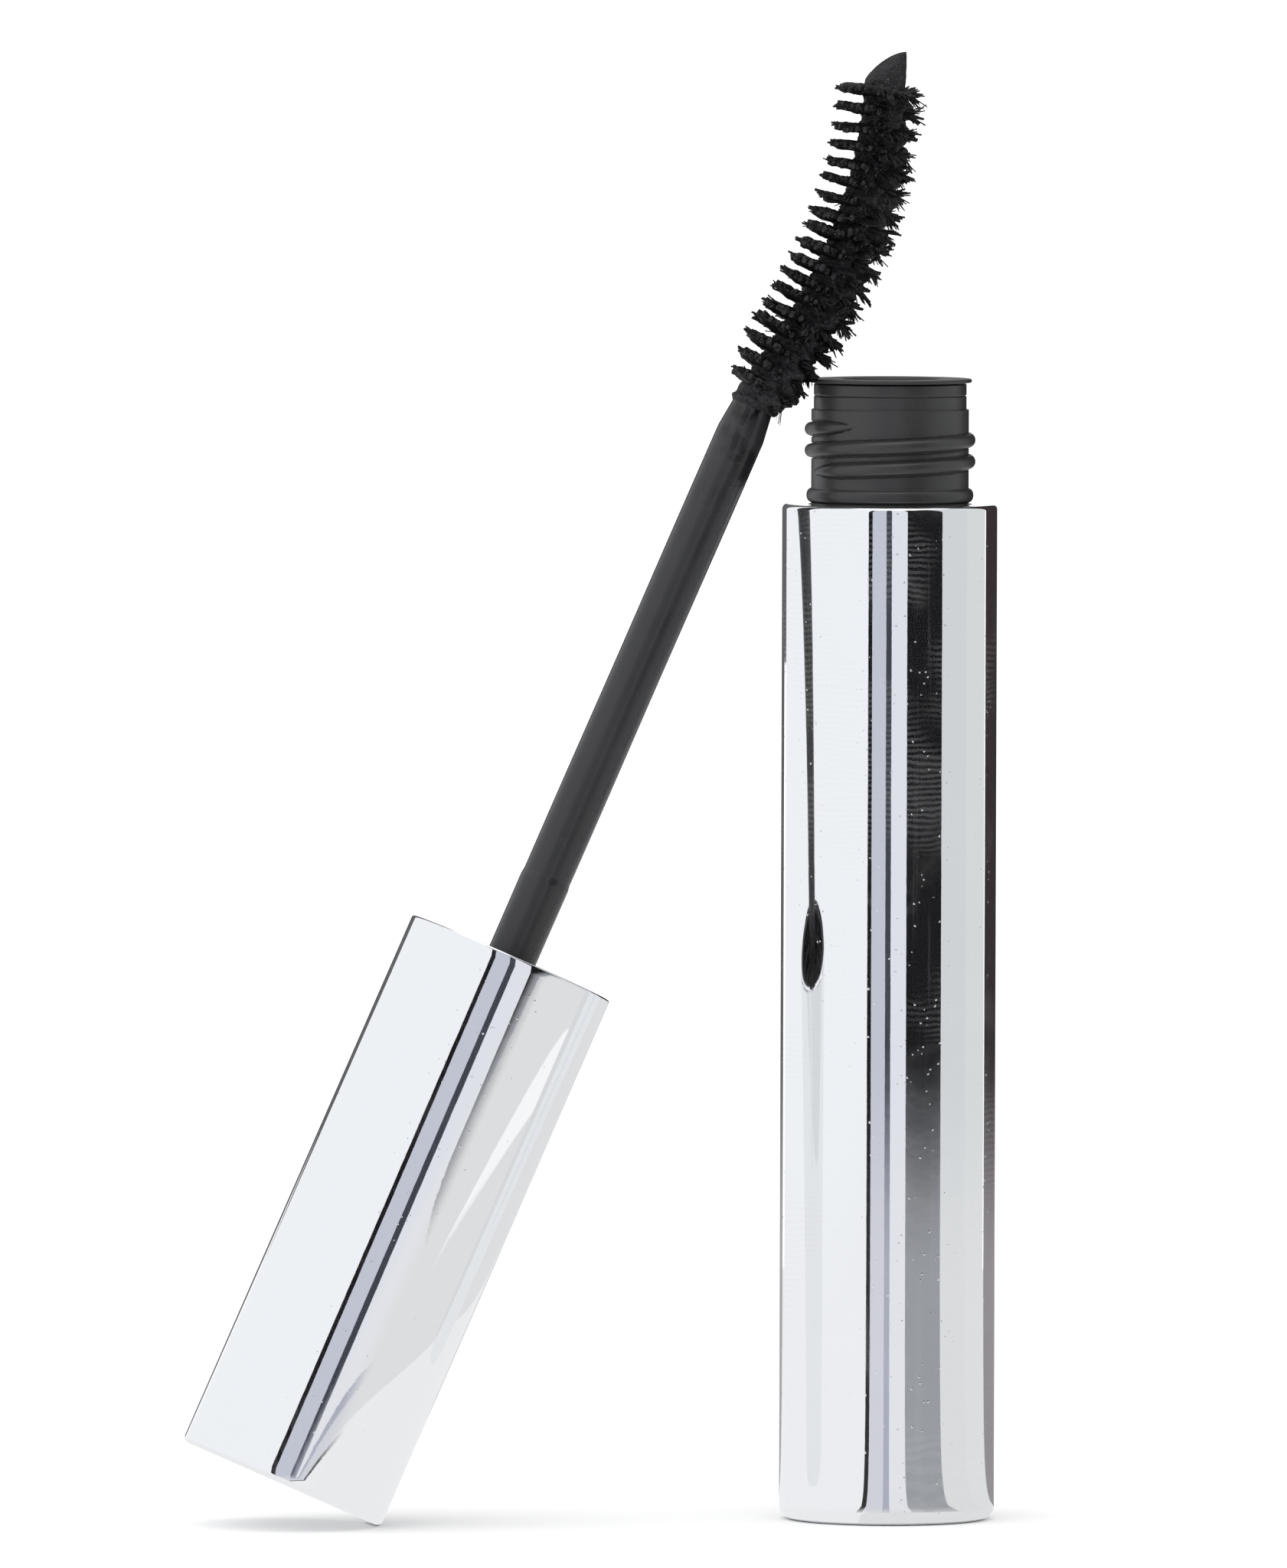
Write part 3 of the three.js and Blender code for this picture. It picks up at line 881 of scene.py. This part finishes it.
def kept_clear(points):
    """Points that would be inside the neck or its flange, moved out to just off its wall, the
    way fibres bend where they lean on it."""
    radius = np.hypot(points[..., 0], points[..., 1])
    wall = flange_radius + 0.12 * MM
    inside = (radius < wall) & (points[..., 2] < neck_top + 0.1 * MM)
    grown = np.where(inside, wall / np.maximum(radius, 1e-9), 1)
    return points * np.stack((grown, grown, np.ones_like(grown)), axis=-1)


def fibre_paths(z, angle, tip_angle, root, reach, drift, curl, steps):
    """Paths from a root radius to a reach, on the plane square to the centre line at height z.
    The angle goes from the root's to the tip's, and the tip drifts along the line by the square
    of the way, plus a sine curl."""
    s = np.linspace(0, 1, steps)[None, :]
    a = angle[:, None] + (tip_angle - angle)[:, None] * s
    r = root + (reach[:, None] - root) * s
    lift = drift[:, None] * s ** 2 + curl[:, None] * np.sin(math.pi * s)
    here, ahead, square = centre_line(np.array([z]))
    outward, around = spokes(square, a)
    up = ahead + 0 * outward
    return here + outward * r[..., None] + up * lift[..., None], around, up


def clumps(z, reach, count):
    """Fins of stuck fibres all round: thick at the root, waisted, blunt and a little ragged."""
    angle = (np.arange(count) + rng.uniform(-0.35, 0.35, count)) / count * TURN
    combed = combed_share(angle)
    keep = (combed > 0.3) | (rng.random(count) > 0.5)
    angle, combed = angle[keep], combed[keep]
    number = len(angle)
    loose = 1 - combed
    far = reach * (1 - 0.10 * rng.random(number) - 0.25 * loose * rng.random(number))
    drift = rng.normal(0, 0.07, number) * MM + loose * rng.normal(0, 0.35, number) * MM
    curl = rng.normal(0, 0.05, number) * MM
    drift = drift + rng.normal(0, 0.13) * MM
    lean = angle + rng.normal(0, 0.05, number)
    paths, around, up = fibre_paths(z, angle, lean, 1.1 * MM, far, drift, curl, 7)
    s = np.linspace(0, 1, 7)[None, :]
    swell = 1 + 0.2 * rng.normal(0, 1, (number, 7)).clip(-1, 1)
    width = (0.31 - 0.07 * s) * MM * swell * (0.5 + 0.5 * combed[:, None])
    width[:, -1] *= 0.8
    width *= rng.uniform(0.78, 1.12)
    return tubes(paths, width, around, up, 7, flat=1.35)


def hairs(z, reach, count, loose_share):
    """Single fibres. On the loose side they lean towards the nearest of a few tuft centres, and
    on the combed side they only poke a little out of their fin."""
    angle = rng.uniform(0, TURN, count)
    loose = 1 - combed_share(angle)
    tufts = 12
    tuft = np.round(angle / TURN * tufts)
    pull = loose * 0.65
    tip = angle + (tuft / tufts * TURN - angle) * pull + rng.normal(0, 0.05, count)
    tuft_lift = rng.normal(0, 0.42, tufts + 1) * MM
    drift = loose * tuft_lift[tuft.astype(int)] + rng.normal(0, 0.13, count) * MM
    drift = drift - loose * 0.35 * MM
    far = reach * (1.01 + 0.06 * rng.normal(0, 1, count).clip(-2, 1.4))
    far = far * (1 - loose * loose_share * rng.random(count))
    curl = rng.normal(0, 0.08, count) * MM
    paths, around, up = fibre_paths(z, angle, tip, 1.2 * MM, far, drift, curl, 5)
    bulge = np.where(rng.random((count, 5)) > 0.7, rng.uniform(1.2, 2.1, (count, 5)), 1)
    width = (0.075 - 0.025 * np.linspace(0, 1, 5)) * MM * bulge
    return tubes(paths, width, around, up, 4)


def joined(parts):
    """Several sets of vertices and faces as one."""
    vertices, faces, count = [], [], 0
    for points, polygons in parts:
        vertices.append(points)
        faces += [[corner + count for corner in polygon] for polygon in polygons]
        count += len(points)
    return np.concatenate(vertices), faces


# %% [markdown]
# Each turn is its own piece and stands for its own CAD ring.

# %% All the turns
for index, node in enumerate(turn_names):
    share = index / (len(turn_names) - 1)
    z = rod_end + bristle_start + index * bristle_pitch
    reach = base_reach + (tip_reach - base_reach) * share
    reach -= heel_trim * max(0, 1 - index / heel_turns)
    vertices, faces = joined((clumps(z, reach, 46), hairs(z, reach, 190, 0.26)))
    vertices = kept_clear(in_place(vertices, WAND))
    turn = make_piece(f"fibres_{index + 1:02d}", vertices, faces, "wand", "bristle_fibre", FIBRE, 60)
    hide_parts(node)

# %% [markdown]
# The product. It fills the brush round the wire, scalloped between the fins on the combed side
# and lumpy on the other, and stands as a smooth pulled peak on the tip. It is one surface along
# the centre line: a radius for each height and angle. The lumps are sums of sines with
# random phases, whole numbers of waves round it, so that it closes without a seam.

# %% The product on the brush


def lumps(angle, distance, waves, size, seed):
    """Sum of sines over the angle and the distance along the brush, of about unit height."""
    source = np.random.default_rng(seed)
    total = np.zeros_like(angle + distance)
    for _ in range(waves):
        turns = source.integers(0, 9)
        pace = source.uniform(-1, 1) * TURN / size
        total = total + np.sin(turns * angle + pace * distance + source.uniform(0, TURN))
    return total / math.sqrt(waves / 2)


coat_low = rod_end - 1.2 * MM
coat_low_radius, peak_radius = 1.7 * MM, 1.8 * MM
coat_rows, coat_columns = 460, 132
t = np.linspace(0, 1, coat_rows)[:, None]
angle = (np.arange(coat_columns) / coat_columns * TURN)[None, :]
peak_top = brush_end - 0.5 * MM
height = coat_low + (peak_top - coat_low) * t
share = np.clip((height - rod_end) / brush_length, 0, 1)
combed = combed_share(angle)
phase = (height - rod_end - bristle_start) / bristle_pitch
fin = np.abs(np.cos(math.pi * phase)) ** 5
notch = (1.62 - 0.25 * share) * MM + 0.55 * MM * fin
loose = (2.45 - 0.5 * share) * MM + 0.30 * MM * lumps(angle, height, 16, 1.2 * MM, 3)
radius = notch * combed + loose * (1 - combed)
crumbs = 0.05 * MM * lumps(angle * 2, height, 18, 0.4 * MM, 5)
peak_start = rod_end + 26.0 * MM
peak = np.clip((height - peak_start) / (peak_top - peak_start), 0, 1)
smooth = 1 - np.clip(peak / 0.3, 0, 1)
radius = radius * smooth + peak_radius * (1 - smooth) + crumbs * (0.15 + 0.85 * smooth)
dome = np.clip(1 - peak ** 1.5, 0, 1) ** 0.62
radius = radius * dome
heel = np.clip(t / 0.05, 0, 1)
radius = coat_low_radius + (radius - coat_low_radius) * heel
radius = radius * np.clip(heel * 6, 0, 1) ** 0.5
peak_lean = 1.7 * MM * (1 - dome[:, 0])
point, _, square = centre_line(height[:, 0])
outward, _ = spokes(square[:, None], angle)
point = point + square * peak_lean[:, None]
points = point[:, None] + outward * radius[..., None]
vertices, faces = closed_grid(in_place(points, WAND), False)
make_piece("product_coat", kept_clear(vertices), faces, "wand", "bristle_fibre", PRODUCT, 80)

# %% [markdown]
# The set: a pale floor, a white room, and one soft light overhead. Polished metal shows only
# what stands round it, so the studio has cards: black ones give the metal its dark lines, grey
# ones its tone, and off-white ones keep its edges from vanishing in the room. They are seen in
# reflections only.

# %% The floor


def sheet(name, corners, material):
    """A flat sheet through its corners, which is part of the set."""
    mesh = bpy.data.meshes.new(name)
    mesh.from_pydata(corners, [], [tuple(range(len(corners)))])
    mesh.materials.append(material)
    flat = placed(name, mesh)
    return flat


far = 12.0
pale = new_material("pale_floor", Roughness=1.0, Specular_IOR_Level=0.0,
                    Base_Color=(0.94, 0.94, 0.94))[0]
floor = sheet("floor", [(-far, -far, 0), (far, -far, 0), (far, far, 0), (-far, far, 0)], pale)
print("floor:", tuple(round(side, 1) for side in floor.dimensions))

# %% What the cards are made of


def glowing(name, colour, below=None, grazing=False, beyond=0.0):
    """A card's emitting colour, which fades at its foot to another if one is given: the colour of
    its painted reflection in the table. A grazing one is only there for light that skims it, like
    gloss, and one with beyond only for mirrors further off than that."""
    material, tree, shader, place = new_material(name)
    tree.nodes.remove(shader)
    glow, mask = add(tree, "Emission", Color=colour), None
    if below:
        height = add(tree, "SeparateXYZ", Vector=place).outputs["Z"]
        fade = ramp(tree, height, 0.0, 22 * MM)
        feed(tree, glow, Color=mixed(tree, fade, below, colour))
    if grazing:
        mask = ramp(tree, add(tree, "LayerWeight", Blend=0.5).outputs["Facing"], 0.80, 0.92)
    if beyond:
        length = add(tree, "LightPath").outputs["Ray Length"]
        mask = ramp(tree, length, beyond, beyond + 12 * MM)
    if mask:
        clear = add(tree, "BsdfTransparent").outputs[0]
        glow = add(tree, "MixShader", A=mask, B=clear, C=glow.outputs[0])
    feed(tree, tree.nodes["Material Output"], Surface=glow.outputs[0])
    return material


# %% Place cards round the vial


def card(name, corners, *finish):
    """A flat card through its corners, seen only in reflections."""
    flag = sheet(name, corners, glowing(name, *finish))
    flag.visible_camera = flag.visible_diffuse = flag.visible_shadow = False


def on_circle(azimuth, distance, z):
    """A point round the vial. Azimuth 0 is straight in front, and it grows towards +X."""
    a = math.radians(azimuth)
    return (distance * math.sin(a), -distance * math.cos(a), z)


def wedge(start, end, near, far, lift):
    """The corners of a flat piece of a ring round the vial, just off the table."""
    azimuths = np.linspace(start, end, max(2, int((end - start) / 8) + 2))
    return ([on_circle(v, near, lift) for v in azimuths]
            + [on_circle(v, far, lift) for v in azimuths[::-1]])


def crescent(start, end, near, far, lift):
    """The corners of a flat arc of painted light on the table, pointed at both ends: its edges part
    from its middle by the sine of pi times the way along it."""
    s = np.linspace(0, 1, 26)[1:-1]
    azimuths = start + (end - start) * s
    middle, half = (near + far) / 2, (far - near) / 2 * np.sin(math.pi * s)
    return ([on_circle(v, middle - h, lift) for v, h in zip(azimuths, half)]
            + [on_circle(v, middle + h, lift) for v, h in zip(azimuths[::-1], half[::-1])])


# %% The cards
CARD_DISTANCE, CARD_TOP = 0.3, 0.5
VIAL_FOOT = 7.6 * MM  # where the vial's rounded foot meets the table


def upright(start, end, distance=CARD_DISTANCE, foot=0):
    """The corners of an upright card between two azimuths."""
    return [on_circle(v, distance, z) for v, z in
            ((start, foot), (end, foot), (end, CARD_TOP), (start, CARD_TOP))]


def stripe(name, start, end, colour, below, distance=CARD_DISTANCE):
    """An upright card, and its painted reflection in the table: a flat glowing wedge that runs in
    from the card's foot towards the vial, which mirrors see at a grazing angle in place of the matte
    floor."""
    card(name, upright(start, end, distance), colour, below)
    card(name + "_painted_reflection", wedge(start, end, VIAL_FOOT, distance, 0.4 * MM), below, None, True)


BLACK, BROWN = (0.008, 0.008, 0.009), (0.035, 0.026, 0.028)
EDGE = (0.12, 0.12, 0.125)
stripe("edge_left", -178, -152, EDGE, (0.40, 0.40, 0.41))
card("edge_high", upright(-152, -145, foot=0.055), EDGE)
stripe("white", -145, -22.6, (0.91, 0.925, 0.945), (0.89, 0.90, 0.91), 0.302)
stripe("line", -22.6, -18.4, BLACK, (0.03, 0.03, 0.03))
stripe("blue", -18.4, -3.7, (0.56, 0.58, 0.66), (0.66, 0.67, 0.72))
stripe("lens", -3.7, 2.0, (0.05, 0.055, 0.07), (0.42, 0.44, 0.52))
stripe("light", 2.0, 18.4, (0.78, 0.79, 0.84), (0.80, 0.81, 0.84))
stripe("dark", 18.4, 57.4, BLACK, (0.33, 0.34, 0.36))
stripe("dark_inner", 29, 36, (0.02, 0.021, 0.023), (0.36, 0.37, 0.39), 0.29)
stripe("grey", 57.4, 90, (0.66, 0.68, 0.69), (0.74, 0.75, 0.75))
stripe("grey_side", 90, 122.8, (0.70, 0.72, 0.72), (0.76, 0.77, 0.77))
stripe("edge_right", 124.6, 172, BROWN, (0.30, 0.28, 0.29))
# Painted light and shade on the table as the metal mirrors it: glowing sheets just off the floor,
# paler on the left of the vial and darker on the right.
card("table_painted_light", wedge(-180, -16, VIAL_FOOT, CARD_DISTANCE, 0.2 * MM), (0.87, 0.875, 0.88))
card("table_painted_shade", wedge(-16, 180, VIAL_FOOT, CARD_DISTANCE, 0.2 * MM), (0.76, 0.765, 0.765))
# A painted pool of light: a glowing crescent like the caustic that a chrome tube throws on the
# table, seen only by mirrors more than 70 mm away.
card("table_painted_caustic", crescent(16, 128, 48 * MM, 70 * MM, 0.3 * MM), (0.98, 0.98, 0.98),
     None, False, 70 * MM)

# %% The room and its light
world = bpy.data.worlds.new("white_room")
world.use_nodes = True
feed(world.node_tree, world.node_tree.nodes["Background"], Color=(1, 1, 1), Strength=1.0)
SCENE.world = world
SCENE.view_settings.view_transform = "Standard"

overhead = bpy.data.lights.new("overhead", "SUN")
overhead.angle = math.radians(70)
overhead.energy = 1.0
lamp = placed("overhead", overhead)
lamp.matrix_world = (Matrix.Rotation(math.radians(-15), 4, "Y")
                     @ Matrix.Rotation(math.radians(18), 4, "X"))
print("lamp:", overhead.energy, "W/m2")

# %% [markdown]
# The camera stands two metres in front, a little above the vial's mouth, with a long lens, so
# that upright edges stay upright. The tiny roll is the one that a hand-set tripod leaves.

# %% The camera
optics = bpy.data.cameras.new("camera")
optics.sensor_fit, optics.sensor_height = "VERTICAL", 36
optics.lens, optics.clip_end = 581.96, 50
camera = placed("camera", optics)
pan, tilt, roll = math.radians(0.1017), math.radians(90 - 2.739), math.radians(0.1745)
camera.matrix_world = (Matrix.Translation((-0.01583, -2.0, 0.15378))
                       @ Matrix.Rotation(pan, 4, "Z") @ Matrix.Rotation(tilt, 4, "X")
                       @ Matrix.Rotation(roll, 4, "Z"))
SCENE.camera = camera
print(f"camera: {optics.lens:.0f} mm lens, {-camera.location.y:.2f} m in front")
